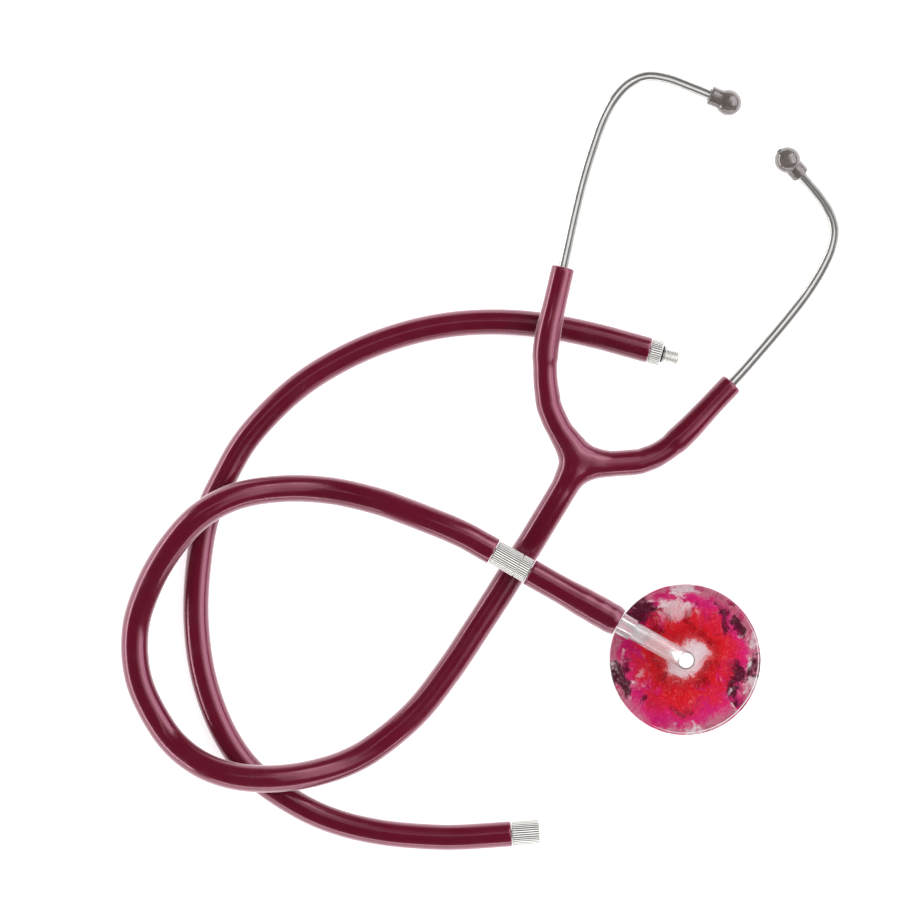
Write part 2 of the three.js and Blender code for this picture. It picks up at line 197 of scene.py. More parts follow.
# ---------------- materials
class Look:
    """A procedural material, built with one short call for each node."""

    def __init__(self, name, **values):
        self.material = bpy.data.materials.new(name)
        self.material.use_nodes = True
        self.tree = self.material.node_tree
        self.shader = self.tree.nodes["Principled BSDF"]
        self.set(**values)
        self.where = self.add("TexCoord").outputs["Object"]

    def plug(self, socket, value):
        if isinstance(value, bpy.types.NodeSocket):
            self.tree.links.new(value, socket)
        elif isinstance(value, tuple) and len(value) == 3 and socket.type == "RGBA":
            socket.default_value = (*value, 1.0)
        else:
            socket.default_value = value

    def set(self, **values):
        for key, value in values.items():
            self.plug(self.shader.inputs[key.replace("_", " ")], value)

    def add(self, kind, settings=None, **inputs):
        node = self.tree.nodes.new("ShaderNode" + kind)
        for key, value in (settings or {}).items():
            setattr(node, key, value)
        for key, value in inputs.items():
            self.plug(node.inputs[key.replace("_", " ")], value)
        return node

    def noise(self, scale, detail=4.0, roughness=0.5, vector=None, distortion=0.0):
        return self.add("TexNoise", Vector=vector or self.where, Scale=scale, Detail=detail,
                        Roughness=roughness, Distortion=distortion).outputs["Fac"]

    def stretched(self, scale, vector=None):
        return self.add("Mapping", Vector=vector or self.where, Scale=scale).outputs["Vector"]

    def math(self, operation, a, b=0.0):
        node = self.add("Math", {"operation": operation})
        self.plug(node.inputs[0], a)
        self.plug(node.inputs[1], b)
        return node.outputs[0]

    def span(self, value, low, high, to_low=0.0, to_high=1.0):
        return self.add("MapRange", {"interpolation_type": "SMOOTHSTEP"}, Value=value,
                        From_Min=low, From_Max=high, To_Min=to_low, To_Max=to_high).outputs[0]

    def mix(self, share, a, b):
        node = self.add("Mix", {"data_type": "RGBA"})
        self.plug(node.inputs[0], share)
        self.plug(node.inputs[6], a)
        self.plug(node.inputs[7], b)
        return node.outputs[2]

    def ramp(self, value, *stops):
        node = self.add("ValToRGB", Fac=value)
        elements = node.color_ramp.elements
        while len(elements) < len(stops):
            elements.new(0.5)
        for element, (place, colour) in zip(elements, stops):
            element.position = place
            element.color = (*colour, 1.0)
        return node.outputs["Color"]

    def bump(self, height, distance, strength=1.0, below=None):
        inputs = {"Normal": below} if below else {}
        normal = self.add("Bump", Height=height, Distance=distance, Strength=strength,
                          **inputs).outputs["Normal"]
        self.plug(self.shader.inputs["Normal"], normal)
        return normal


def soft_pvc(name, along):
    """Glossy burgundy PVC: faint colour drift, a little handling haze and extrusion lines."""
    look = Look(name, IOR=1.9, Specular_Tint=(1.0, 0.46, 0.62), Coat_Weight=0.25,
                Coat_Roughness=0.06, Sheen_Weight=1.0, Sheen_Roughness=0.32,
                Sheen_Tint=(1.0, 0.78, 0.86))
    drift = look.noise(38.0, 3.0)
    deep, full = (0.082, 0.0015, 0.0105), (0.098, 0.0021, 0.0135)
    colour = look.ramp(drift, (0.3, deep), (0.7, full))
    specks = look.span(look.noise(1900.0, 2.0, 0.6), 0.66, 0.78)
    colour = look.mix(look.math("MULTIPLY", specks, 0.16), colour, (0.20, 0.018, 0.045))
    look.set(Base_Color=colour)
    haze = look.noise(120.0, 5.0, 0.6)
    look.set(Roughness=look.span(haze, 0.3, 0.75, 0.17, 0.28))
    peel = look.bump(look.noise(620.0, 2.0, 0.5), 0.00002, 0.5)
    if along:
        uv = look.add("UVMap", {"uv_map": "along"}).outputs["UV"]
        lines = look.noise(1.0, 3.0, 0.6, look.stretched((70.0, 0.012, 1.0), uv))
        look.bump(lines, 0.00002, 0.7, peel)
    return look.material


def plated(name, colour, roughness, scratches, metallic=1.0, ridges=0):
    """Bright plated metal with a faint grain and small scratches. Knurling gets painted shade,
    near black, in the grooves between its ridges."""
    look = Look(name, Metallic=metallic)
    grain = look.noise(240.0, 5.0, 0.65)
    dull = tuple(0.88 * c for c in colour)
    tone = look.ramp(grain, (0.35, dull), (0.65, colour))
    rub = look.noise(1.0, 4.0, 0.7, look.stretched((1500.0, 90.0, 1500.0)))
    if ridges:
        uv = look.add("UVMap", {"uv_map": "along"}).outputs["UV"]
        around = look.add("SeparateXYZ", Vector=uv).outputs["X"]
        turn = look.math("MULTIPLY", around, float(ridges))
        # painted shade: the colour falls almost to black in the grooves between the ridges
        groove_shade = look.span(look.math("PINGPONG", turn, 0.5), 0.34, 0.16)
        tone = look.mix(look.math("MULTIPLY", groove_shade, 0.94), tone, (0.06, 0.056, 0.05))
    look.set(Base_Color=tone)
    look.set(Roughness=look.span(rub, 0.3, 0.72, roughness, roughness + scratches))
    look.bump(rub, 0.000004, 0.5)
    return look.material


def acrylic(name, clarity):
    """Polished clear acrylic with a few hairlines. A moulded piece is a little milky."""
    look = Look(name, Base_Color=(0.975, 0.985, 0.985), IOR=1.49, Transmission_Weight=clarity)
    hairs = look.noise(1.0, 3.0, 0.7, look.stretched((2600.0, 240.0, 900.0)))
    look.set(Roughness=look.span(hairs, 0.55, 0.8, 0.012, 0.07))
    look.bump(look.noise(90.0, 2.0), 0.00002, 0.25)
    return look.material


def frosted():
    """The drilled, unpolished ends of the bores, frosted white, with a painted glow: a faint white
    emission makes them shine inside the clear stem though they are no lamp.
    """
    # painted glow: a faint white emission on the frosted bore ends
    look = Look("frosted_acrylic_painted_glow", Roughness=0.75, Emission_Color=(1.0, 1.0, 1.0),
                Emission_Strength=0.28)
    cuts = look.noise(1.0, 3.0, 0.6, look.stretched((900.0, 900.0, 200.0)))
    look.set(Base_Color=look.ramp(cuts, (0.3, (0.9, 0.9, 0.9)), (0.7, (1.0, 1.0, 1.0))))
    look.bump(cuts, 0.00003, 0.4)
    return look.material


def tip_plastic():
    """Soft grey see-through plastic of the ear tips, glossy."""
    look = Look("ear_tip_plastic", IOR=1.5, Coat_Weight=1.0, Coat_Roughness=0.03,
                Transmission_Weight=0.4, Sheen_Weight=0.3, Sheen_Roughness=0.25)
    body = look.noise(150.0, 3.0)
    tone = look.ramp(body, (0.3, (0.125, 0.103, 0.095)), (0.7, (0.17, 0.145, 0.135)))
    look.set(Base_Color=tone)
    look.set(Roughness=look.span(look.noise(500.0, 3.0), 0.3, 0.7, 0.1, 0.2))
    look.bump(look.noise(420.0, 2.0), 0.00003, 0.4)
    return look.material


def rubber():
    """Matt black rubber of the seal rings."""
    look = Look("seal_rubber")
    grain = look.noise(2200.0, 3.0)
    tone = look.ramp(grain, (0.3, (0.014, 0.013, 0.013)), (0.7, (0.04, 0.038, 0.036)))
    look.set(Base_Color=tone)
    look.set(Roughness=look.span(grain, 0.3, 0.7, 0.4, 0.6))
    look.bump(grain, 0.00002, 0.6)
    return look.material


def film():
    """The diaphragm: a thin off-white composite sheet with a faint weave."""
    look = Look("diaphragm_sheet", Specular_IOR_Level=0.4)
    warp = look.add("TexWave", {"bands_direction": "X"}, Vector=look.where, Scale=420.0)
    weft = look.add("TexWave", {"bands_direction": "Y"}, Vector=look.where, Scale=420.0)
    weave = look.math("MAXIMUM", warp.outputs["Fac"], weft.outputs["Fac"])
    tone = look.ramp(look.noise(60.0, 4.0), (0.3, (0.78, 0.76, 0.71)), (0.7, (0.88, 0.87, 0.83)))
    look.set(Base_Color=look.mix(look.math("MULTIPLY", weave, 0.25), tone, (0.95, 0.94, 0.9)))
    look.set(Roughness=look.span(weave, 0.0, 1.0, 0.5, 0.35))
    look.bump(weave, 0.00002, 0.5)
    return look.material


def print_art():
    """An abstract of the builder's own on the disc: a pale centre, red then magenta rings and dark
    and pale patches toward the rim, with torn edges and fine dry-brush fibres."""
    look = Look("art_print", Specular_IOR_Level=0.0)
    flat = look.stretched((1 / 0.0277, 1 / 0.0277, 0.0))

    def vector(operation, a, b):
        node = look.add("VectorMath", {"operation": operation})
        look.plug(node.inputs[0], a)
        look.plug(node.inputs["Scale"] if operation == "SCALE" else node.inputs[1], b)
        return node.outputs[0]

    def moved(place, scale, amount, detail):
        shift = look.add("TexNoise", Vector=place, Scale=scale, Detail=detail, Roughness=0.65)
        centred = vector("SUBTRACT", shift.outputs["Color"], (0.5, 0.5, 0.5))
        return vector("ADD", place, vector("SCALE", centred, amount))

    def patch(place, scale, low, high, offset):
        return look.span(look.noise(scale, 9.0, 0.68, vector("ADD", place, offset)), low, high)

    broad = moved(flat, 1.4, 0.6, 2.0)
    torn = moved(moved(broad, 7.0, 0.2, 6.0), 24.0, 0.075, 4.0)
    parts = look.add("SeparateXYZ", Vector=torn)
    x, y = parts.outputs["X"], parts.outputs["Y"]
    square = look.math("ADD", look.math("MULTIPLY", x, x), look.math("MULTIPLY", y, y))
    radius = look.math("SQRT", square)
    turn = look.math("ARCTAN2", y, x)
    rays = look.add("CombineXYZ", X=look.math("MULTIPLY", turn, 9.0),
                    Y=look.math("MULTIPLY", radius, 2.6)).outputs[0]
    feather = look.noise(2.4, 10.0, 0.78, rays, 0.4)
    tear = look.math("MULTIPLY", look.math("SUBTRACT", feather, 0.5), 0.42)
    place = look.math("ADD", radius, tear)
    ground = look.ramp(
        place, (0.08, (0.98, 0.92, 0.93)), (0.23, (0.93, 0.72, 0.76)), (0.29, (0.74, 0.06, 0.07)),
        (0.40, (0.60, 0.009, 0.018)), (0.52, (0.76, 0.014, 0.022)), (0.68, (0.74, 0.018, 0.06)),
        (0.82, (0.74, 0.020, 0.19)), (0.96, (0.66, 0.20, 0.30)),
    )
    ring = look.math("MULTIPLY", look.span(place, 0.24, 0.36), look.span(place, 0.8, 0.55))
    shade = look.math("MULTIPLY", patch(broad, 3.1, 0.50, 0.70, (3.1, 0.7, 0.0)), ring)
    ground = look.mix(look.math("MULTIPLY", shade, 0.8), ground, (0.12, 0.003, 0.010))
    # pink, dark and pale patches: noise (scale, low, high, offset), the (inner, outer) span over
    # which they set in, strength, colour
    for (scale, low, high, offset), (inner, outer), strength, colour in (
        ((2.1, 0.50, 0.60, (1.7, 5.2, 0.0)), (0.4, 0.62), 0.9, (0.66, 0.012, 0.17)),
        ((1.5, 0.53, 0.58, (4.4, 8.6, 0.0)), (0.6, 0.76), 0.95, (0.060, 0.006, 0.018)),
        ((1.6, 0.53, 0.60, (7.3, 2.1, 0.0)), (0.55, 0.74), 0.92, (0.90, 0.79, 0.82)),
    ):
        spots = patch(torn, scale, low, high, offset)
        spots = look.math("MULTIPLY", spots, look.span(place, inner, outer))
        ground = look.mix(look.math("MULTIPLY", spots, strength), ground, colour)
    # dry-brush fibres: two crossing directions, each strong in its own places
    for number, stretch in enumerate(((6.0, 42.0, 1.0), (40.0, 7.0, 1.0))):
        brushed = look.stretched(stretch, moved(broad, 3.0, 0.3, 3.0))
        fibre = look.noise(1.0, 8.0, 0.78, brushed, 0.5)
        where = patch(broad, 3.4, 0.42, 0.60, (9.0 + 5.0 * number, 3.3, 0.0))
        light = look.math("MULTIPLY", look.span(fibre, 0.56, 0.74), where)
        ground = look.mix(look.math("MULTIPLY", light, 0.68), ground, (0.94, 0.70, 0.75))
        deep = look.math("MULTIPLY", look.span(fibre, 0.44, 0.28), where)
        ground = look.mix(look.math("MULTIPLY", deep, 0.7), ground, (0.11, 0.004, 0.014))
    grain = look.noise(32.0, 4.0, 0.8, torn)
    ground = look.mix(look.span(grain, 0.46, 0.32, 0.0, 0.5), ground, (0.13, 0.004, 0.016))
    ground = look.mix(look.span(grain, 0.56, 0.72, 0.0, 0.42), ground, (0.88, 0.50, 0.56))
    look.set(Base_Color=ground)
    look.set(Roughness=look.span(grain, 0.3, 0.7, 0.4, 0.6))
    look.bump(grain, 0.00004, 0.5)
    return look.material


HOSE_LOOK = soft_pvc("hose_pvc", True)
YOKE_LOOK = soft_pvc("yoke_pvc", False)
METAL_LOOK = plated("coupling_metal", (0.86, 0.85, 0.82), 0.22, 0.1, 0.7)
KNURL_LOOK = plated("knurled_metal", (0.93, 0.92, 0.89), 0.3, 0.1, 0.35, RIDGES)
CHROME_LOOK = plated("ear_tube_chrome", (0.52, 0.51, 0.495), 0.1, 0.06, 0.72)
SPRING_LOOK = plated("spring_steel", (0.50, 0.51, 0.53), 0.3, 0.15)
ACRYLIC_LOOK = acrylic("clear_acrylic", 1.0)
MOULDED_LOOK = acrylic("moulded_acrylic", 0.91)
FROSTED_GLOW_LOOK = frosted()
TIP_LOOK = tip_plastic()
RUBBER_LOOK = rubber()
FILM_LOOK = film()
ART_LOOK = print_art()

# ---------------- camera
# straight above, as in the photograph; VIEW_WIDTH is what it sees at the height of the hoses
VIEW_WIDTH, VIEW_Z, CAMERA_HEIGHT, SENSOR = 0.342, 0.006, 2.6, 36.0
VIEW_MIDDLE = (-0.0893, 0.0796)
camera = bpy.data.objects.new("camera", bpy.data.cameras.new("camera"))
camera.data.sensor_width = SENSOR
camera.data.lens = SENSOR * CAMERA_HEIGHT / VIEW_WIDTH
camera.data.clip_end = 50.0
camera.location = (*VIEW_MIDDLE, CAMERA_HEIGHT + VIEW_Z)
bpy.context.scene.collection.objects.link(camera)
bpy.context.scene.camera = camera

# ---------------- hoses
SPARE_POINTS = [
    (-13.5, 117.5), (-19.05, 119.04), (-24.6, 120.58), (-32.4, 122.7), (-51.3, 126.6),
    (-70.3, 128.3), (-89.3, 127.3), (-108.3, 123.2), (-127.8, 115.5), (-147.6, 103.2),
    (-166.3, 84.1), (-175.8, 67.8), (-181.5, 54.9), (-184.7, 37.7), (-185.8, 15.0),
    (-182.7, -7.7), (-174.7, -28.7), (-164.5, -42.8), (-148.8, -54.3), (-134.4, -61.1),
    (-115.8, -65.7), (-93.1, -67.6), (-84.0, -67.5), (-77.6, -67.11), (-71.8, -66.71),
    (-66.0, -66.3),
]
MAIN_POINTS = [
    (-46.6, 64.1, 9.5), (-48.2, 61.4, 9.5), (-53.7, 52.3, 8.5), (-58.6, 44.2, 6.8),
    (-63.3, 36.8, 5.5), (-69.3, 27.0, 5.2), (-79.0, 11.9, 5.2), (-89.8, -4.3, 5.2),
    (-102.9, -20.8, 5.2), (-119.9, -34.7, 5.4), (-129.5, -39.6, 7.2), (-139.0, -42.5, 10.3),
    (-149.0, -44.3, 13.5), (-159.0, -44.9, 15.4), (-170.0, -44.1, 14.9), (-181.4, -40.7, 12.0),
    (-191.3, -34.4, 8.1), (-198.7, -26.0, 5.7), (-207.6, -7.7, 5.2), (-208.9, 11.2, 5.3),
    (-203.8, 27.7, 8.6), (-195.3, 42.4, 13.2), (-184.3, 54.5, 15.5), (-171.0, 61.8, 13.6),
    (-153.8, 64.9, 8.9), (-135.0, 64.2, 5.3), (-116.2, 60.0, 8.1), (-106.5, 56.6, 11.1),
    (-97.1, 53.0, 13.9), (-89.8, 50.1, 15.3), *(on_line(s) for s in (95.2, 89.4, 83.65)),
]
HOSE_SIDES, HOSE_STEP, BORE_DEPTH = 36, 2.2, 11.5


def cut_end(end, radius, toward):
    """Stations of a cut hose end with its bore; toward is +1 or -1 along the route."""
    shape = [(0.9, radius), (0.35, radius - 0.05), (0.08, radius - 0.22), (0.0, radius - 0.5),
             (0.0, HOSE_BORE + 0.15), (0.15, HOSE_BORE), (BORE_DEPTH, HOSE_BORE)]
    return [(end - toward * s, r) for s, r in shape]


def hose(name, route, radius, begin, finish):
    """A hose with the stations of its two ends given, and the points of its middle line."""
    middle = np.arange(begin[-1][0] + HOSE_STEP, finish[0][0] - 1.0, HOSE_STEP)
    stations = [*begin, *((s, radius) for s in middle), *finish]
    obj = make(name, [swept(route, stations, HOSE_SIDES)], [HOSE_LOOK], 50)
    path = route.frame(np.linspace(0, route.length, 240))[0] * MM
    return obj, path


spare_route = Route([(x, y, SPARE_R) for x, y in SPARE_POINTS])
spare_hose, spare_path = hose("extension_hose_tube", spare_route, SPARE_R,
                              cut_end(0.0, SPARE_R, -1)[::-1],
                              cut_end(spare_route.length, SPARE_R, 1))
main_route = Route(MAIN_POINTS)
main_hose, main_path = hose("main_hose_tube", main_route, HOSE_R, [(-0.36, HOSE_R)],
                            cut_end(main_route.length, HOSE_R, 1))

# the lower hose, swollen where it is pushed over the barbs of the clear stem
LOWER_START, LOWER_END, LOWER_R, BARB_SOCKET = 29.2, 67.95, 5.25, 3.4
LOWER_SKIN = [
    (LOWER_START, 5.2), (31.5, 5.8), (34.5, 5.79), (37.8, 5.88), (41.2, 5.76), (44.8, 5.74),
    (49.0, 5.5), (53.5, 5.3), (LOWER_END, LOWER_R),
]
line_out = straight(on_line(0), -LINE)
skin = catmull([(s, r, 0) for s, r in LOWER_SKIN], 8)[:, :2]
skin = skin[(skin[:, 0] > 30.0) & (skin[:, 0] < 67.1)]
lower_stations = [
    (41.0, BARB_SOCKET), (29.45, BARB_SOCKET), (LOWER_START, 3.6), (LOWER_START, 4.75), (29.3, 5.1),
    (29.6, 5.36), *skin.tolist(), *cut_end(LOWER_END, LOWER_R, 1)[:-1], (57.0, HOSE_BORE),
]
lower_part = swept(line_out, lower_stations, HOSE_SIDES)
lower_hose = make("lower_hose_tube", [lower_part], [HOSE_LOOK], 50)

# ---------------- Y piece
LEFT_HINGE, RIGHT_HINGE = (-51.8, 96.5), (-17.4, 75.2)
LEFT_ARM = [LEFT_HINGE, (-53.1, 106.2, 0.3), (-53.1, 116.9, 0.9), (-51.7, 126.0, 0.8),
            (-50.0, 133.4, 0.3), (-48.2, 141.2), (-46.4, 149.0)]
RIGHT_ARM = [RIGHT_HINGE, (-11.6, 77.3), (-6.0, 80.8), (0.9, 87.0), (6.5, 92.9), (12.2, 99.0),
             (18.0, 105.1)]
WEB_FOOT = [(-46.4, 64.4), (-44.8, 67.1)]
WEB_LEFT = [*WEB_FOOT, (-42.9, 73.5), (-43.9, 80.6), (-48.2, 88.3), LEFT_HINGE,
            (-52.5, 101.3, 0.15)]
WEB_RIGHT = [*WEB_FOOT, (-40.9, 71.0), (-35.4, 73.4), (-27.5, 74.4), RIGHT_HINGE, (-12.9, 76.8)]
CROTCH = [LEFT_HINGE, (-49.0, 89.6), (-44.4, 83.0), (-38.2, 77.4), (-30.0, 74.7), RIGHT_HINGE]
WEB_CENTRE = on_head(-41.9, 76.6)
FILLET, FILLET_FULL, FILLET_FADE = 3.4, 6.0, 8.0
WEB_VOXEL, FILLER_HALF, FILLER_SQUARE = 0.62, 5.2, 27.0
LIMB_STEP, TAIL_INSET, CROTCH_INSET = 0.9, 0.04, 0.02
WAIST_R, STEP_R = 4.6, 5.0
WAIST_END, STEP_LENGTH, STEP_END, SLEEVE_LENGTH = 0.27, 0.09, 0.36, 0.45


def head_route(points):
    return Route([on_head(*p) for p in points])


def ease(t, start, end):
    """A smooth step from start to end while t goes from 0 to 1."""
    t = np.clip(t, 0, 1)
    return start + (end - start) * (3 * t * t - 2 * t**3)


def arm_radius(t):
    """Full at the web, a soft step over the ear tube's inner end, then slimmer to the mouth."""
    t = np.asarray(t, float)
    waist = ease(t / WAIST_END, WEB_R, WAIST_R)
    step = ease((t - WAIST_END) / STEP_LENGTH, WAIST_R, STEP_R)
    sleeve = ease((t - STEP_END) / SLEEVE_LENGTH, STEP_R, ARM_R)
    return np.where(t < WAIST_END, waist, np.where(t < STEP_END, step, sleeve))


# the web's two limbs run on into the arms by a tail, just inside them; the third fills the crotch
limbs = []
for points, tail, arm in ((WEB_LEFT, 4.85, LEFT_ARM), (WEB_RIGHT, 4.75, RIGHT_ARM),
                          (CROTCH, 0.0, None)):
    route = head_route(points)
    whole = route.length - tail
    steps = np.linspace(0, route.length, int(route.length / LIMB_STEP))
    centre = route.frame(steps)[0]
    if tail:
        radius = ease(steps / whole, STEM_TUBE_R, WEB_R)
        inside = arm_radius((steps - whole) / head_route(arm).length) - TAIL_INSET
        radius = np.where(steps > whole, inside, radius)
    else:
        radius = np.full(len(steps), WEB_R - CROTCH_INSET)
    limbs.append((route, centre, radius))


def limb_distance(points, centre, radius):
    """Signed distance from each point to one limb, a chain of tapered pieces."""
    a, ab = centre[:-1], np.diff(centre, axis=0)
    rel = points[:, None] - a[None]
    t = np.clip(np.einsum("nkd,kd->nk", rel, ab) / np.sum(ab * ab, 1), 0, 1)
    gap = np.linalg.norm(rel - t[..., None] * ab, axis=2)
    return np.min(gap - (radius[:-1] + t * np.diff(radius)), axis=1)


def web_distance(points):
    """Signed distance to the moulded web: three limbs with soft fillets between them."""
    far = np.linalg.norm(points - WEB_CENTRE, axis=1)
    soft = FILLET * (1 - ease((far - FILLET_FULL) / FILLET_FADE, 0.0, 1.0)) + 1e-6
    total = None
    for _, centre, radius in limbs:
        d = limb_distance(points, centre, radius)
        if total is None:
            total = d
            continue
        h = np.maximum(soft - np.abs(total - d), 0) / soft
        total = np.minimum(total, d) - h * h * soft / 4
    return total


def web_normals(points):
    """The web's outward normals, from its distance a little to either side along each axis."""
    shifts = 0.05 * np.eye(3)
    slopes = [web_distance(points + shift) - web_distance(points - shift) for shift in shifts]
    return unit(np.stack(slopes, 1))


def web_solid():
    """The web's outer surface, remeshed evenly and then moved onto the exact shape. A ball fills
    the middle, where the limbs part."""
    parts = []
    for route, _, radius in limbs:
        steps = np.linspace(0, route.length, len(radius))
        parts.append(swept(route, list(zip(steps, radius)), 16))
    core = straight(WEB_CENTRE - np.array([0, 0, FILLER_HALF]), (0, 0, 1))
    ball = [(s, max(0.3, math.sqrt(max(0, FILLER_SQUARE - (s - FILLER_HALF) ** 2))))
            for s in np.linspace(0, 2 * FILLER_HALF, 9)]
    parts.append(swept(core, ball, 16))
    rough = make("web_rough", parts, [])
    modifier = rough.modifiers.new("even", "REMESH")
    modifier.mode = "VOXEL"
    modifier.voxel_size = WEB_VOXEL * MM
    graph = bpy.context.evaluated_depsgraph_get()
    mesh = bpy.data.meshes.new_from_object(rough.evaluated_get(graph))
    bpy.data.objects.remove(rough)
    bm = bmesh.new()
    bm.from_mesh(mesh)
    bpy.data.meshes.remove(mesh)
    bm.verts.ensure_lookup_table()
    at = np.array([v.co for v in bm.verts]) / MM
    edges = np.array([[v.index for v in e.verts] for e in bm.edges])
    degree = np.bincount(edges.ravel(), minlength=len(at))[:, None]

    def neighbours(values):
        total = np.zeros_like(values)
        np.add.at(total, edges[:, 0], values[edges[:, 1]])
        np.add.at(total, edges[:, 1], values[edges[:, 0]])
        return total / degree

    # each sweep puts the points on the shape, and all but the last two even them out along it
    for sweep in range(7):
        normal = web_normals(at) if sweep % 3 == 0 else normal
        at = at - normal * web_distance(at)[:, None]
        if sweep < 5:
            slide = neighbours(at) - at
            slide -= normal * np.sum(slide * normal, 1, keepdims=True)
            at = at + 0.6 * slide
    for v, p in zip(bm.verts, at * MM):
        v.co = p
    return bm


def web_halves():
    """Cuts the web off square at the hose and splits it down the stem's middle."""
    bm = web_solid()
    stem_at, stem_along = (value[0] for value in limbs[0][0].frame(0.0)[:2])
    split_at = np.array([-45.6, 66.0, 10.0])
    across = unit(np.array([13.2, -4.6, 0.0]))
    for at, normal, clear in ((stem_at, -stem_along, True), (split_at, across, False)):
        bmesh.ops.bisect_plane(bm, geom=bm.verts[:] + bm.edges[:] + bm.faces[:],
                               plane_co=Vector(at * MM), plane_no=Vector(normal),
                               clear_outer=clear)
    bm.verts.index_update()
    points = np.array([v.co for v in bm.verts]) / MM
    faces = [tuple(v.index for v in f.verts) for f in bm.faces]
    edges = np.array([[v.index for v in e.verts] for e in bm.edges])
    bm.free()
    normals = web_normals(points)
    for _ in range(3):
        total = normals * 2
        np.add.at(total, edges[:, 0], normals[edges[:, 1]])
        np.add.at(total, edges[:, 1], normals[edges[:, 0]])
        normals = unit(total)
    side = np.array([np.mean(points[list(f)], axis=0) for f in faces]) - split_at
    side = side @ across
    halves = []
    for sign in (-1, 1):
        kept = [f for f, d in zip(faces, side) if d * sign > 0]
        used = sorted({v for f in kept for v in f})
        number = {v: i for i, v in enumerate(used)}
        kept = [tuple(number[v] for v in f) for f in kept]
        sides = dict.fromkeys((a, b) for f in kept for a, b in zip(f, f[1:] + f[:1]))
        rim = {b: a for a, b in sides if (b, a) not in sides}
        caps = []
        while rim:
            start = next(iter(rim))
            loop, v = [start], rim.pop(start)
            while v != start and v in rim:
                loop.append(v)
                v = rim.pop(v)
            if len(loop) > 2:
                caps.append(tuple(loop))
        halves.append((points[used], kept, caps, normals[used]))
    return halves


def arm_part(points):
    """A sleeve of the Y, rounded at its mouth, with the bore that holds the ear tube."""
    route = head_route(points)
    length = route.length
    end = float(arm_radius(1.0))
    stations = [(s, float(arm_radius(s / length))) for s in np.arange(2.0, length - 1.4, 0.9)]
    stations += [(length - s, end - d) for s, d in
                 ((1.1, 0.0), (0.66, 0.09), (0.31, 0.31), (0.09, 0.66), (0.0, 1.1))]
    stations += [(length, SLEEVE_BORE + 0.3), (length - 0.12, SLEEVE_BORE + 0.06),
                 (length - 0.4, SLEEVE_BORE), (length - 14.6, SLEEVE_BORE)]
    return swept(route, stations, 40)


def corner_normals(part):
    """Smooth corner normals of a swept part, kept flat on its end faces."""
    points, faces, _ = part
    mesh = bpy.data.meshes.new("look_up")
    mesh.from_pydata(points.tolist(), [], faces)
    mesh.polygons.foreach_set("use_smooth", np.ones(len(faces), bool))
    mesh.set_sharp_from_angle(angle=math.radians(40))
    out = np.array([n.vector for n in mesh.corner_normals])
    bpy.data.meshes.remove(mesh)
    return out


def y_half(name, half, arm_points):
    """Half of the web with its arm. Normals of zero leave the cut caps flat."""
    points, faces, caps, normals = half
    arm = arm_part(arm_points)
    directions = [tuple(normals[v]) for f in faces for v in f]
    directions += [(0.0, 0.0, 0.0) for f in caps for _ in f]
    directions += [tuple(n) for n in corner_normals(arm)]
    web = (points, faces + caps, plain_corners(faces + caps))
    return make(name, [web, arm], [YOKE_LOOK], normals=directions)


left_half, right_half = web_halves()
left_skin = y_half("left_arm_moulding", left_half, LEFT_ARM)
right_skin = y_half("right_arm_moulding", right_half, RIGHT_ARM)

# ---------------- screw couplings
TURN_SIDES = RIDGES * 6
turns = np.arange(TURN_SIDES) / TURN_SIDES
within = (turns * RIDGES) % 1.0
knurl = -KNURL_DEPTH * (1 - np.interp(within, [0.0, 0.1, 0.26, 0.74, 0.9, 1.0], [0, 0, 1, 1, 0, 0]))
BARB = [(-11.0, 1.3), (-11.0, 1.7), (-8.8, 2.05), (-8.6, 1.75), (-6.2, 2.05), (-6.0, 1.75),
        (-3.6, 2.05), (-3.4, 1.75), (0.0, 1.75)]


def knurled(start, end):
    """A straight-knurled band with small chamfers, from start to end."""
    low = KNURL_R - KNURL_DEPTH
    return [(start, low - 0.12), (start + 0.1, low), (start + 0.28, KNURL_R, knurl),
            *((z, KNURL_R, knurl) for z in np.linspace(start + 0.8, end - 0.8, 5)),
            (end - 0.28, KNURL_R, knurl), (end - 0.1, low), (end, low - 0.12)]


def threaded(start, end, radius, depth, sign):
    """Rings of a screw thread. sign is +1 for a plug and -1 for a socket, whose walls run back."""
    rings = []
    for z in np.arange(start, end, THREAD_PITCH / 6):
        fade = min(1.0, (z - start) / 0.5, (end - z) / 0.5)
        wave = 0.5 - 0.5 * np.cos(2 * np.pi * (z / THREAD_PITCH - turns))
        rings.append((z, radius, -sign * depth * fade * wave**1.4))
    return rings if sign > 0 else rings[::-1]


def female_profile():
    """A knurled sleeve with a threaded socket, and a barb at its back."""
    return [*BARB, *knurled(0.0, FEMALE_LENGTH), (FEMALE_LENGTH, SOCKET_R + 0.25),
            (FEMALE_LENGTH - 0.3, SOCKET_R), *threaded(3.3, 10.0, SOCKET_R, 0.22, -1),
            (3.0, SOCKET_R), (3.0, 1.3)]


def male_profile():
    """A knurled collar, a neck for the seal ring and a threaded plug, with a barb at its back."""
    neck, shoulder = COLLAR_LENGTH + 1.2, COLLAR_LENGTH + 0.16
    return [*BARB, *knurled(0.0, shoulder), (shoulder, 2.3), (neck, 2.3),
            (neck + 0.25, PLUG_R - 0.05), *threaded(neck + 0.35, PLUG_END - 0.45, PLUG_R, 0.42, 1),
            (PLUG_END - 0.4, PLUG_R - 0.05), (PLUG_END, PLUG_R - 0.4), (PLUG_END, 1.3)]


def fitting(name, at, direction, profile):
    """A coupling half: its knurled faces take the second material."""
    ribbed = [len(station) == 3 and station[2] is knurl for station in profile]
    bands = [int(a and b) for a, b in zip(ribbed, ribbed[1:] + ribbed[:1])]
    looks = [band for band in bands for _ in range(TURN_SIDES)]
    part = swept(straight(at, direction), profile, TURN_SIDES, closed=True)
    return make(name, [(*part, looks)], [METAL_LOOK, KNURL_LOOK], 28)


SEAL_R, SEAL_SECTION, SEAL_AT = 2.98, 0.34, COLLAR_LENGTH + 0.66


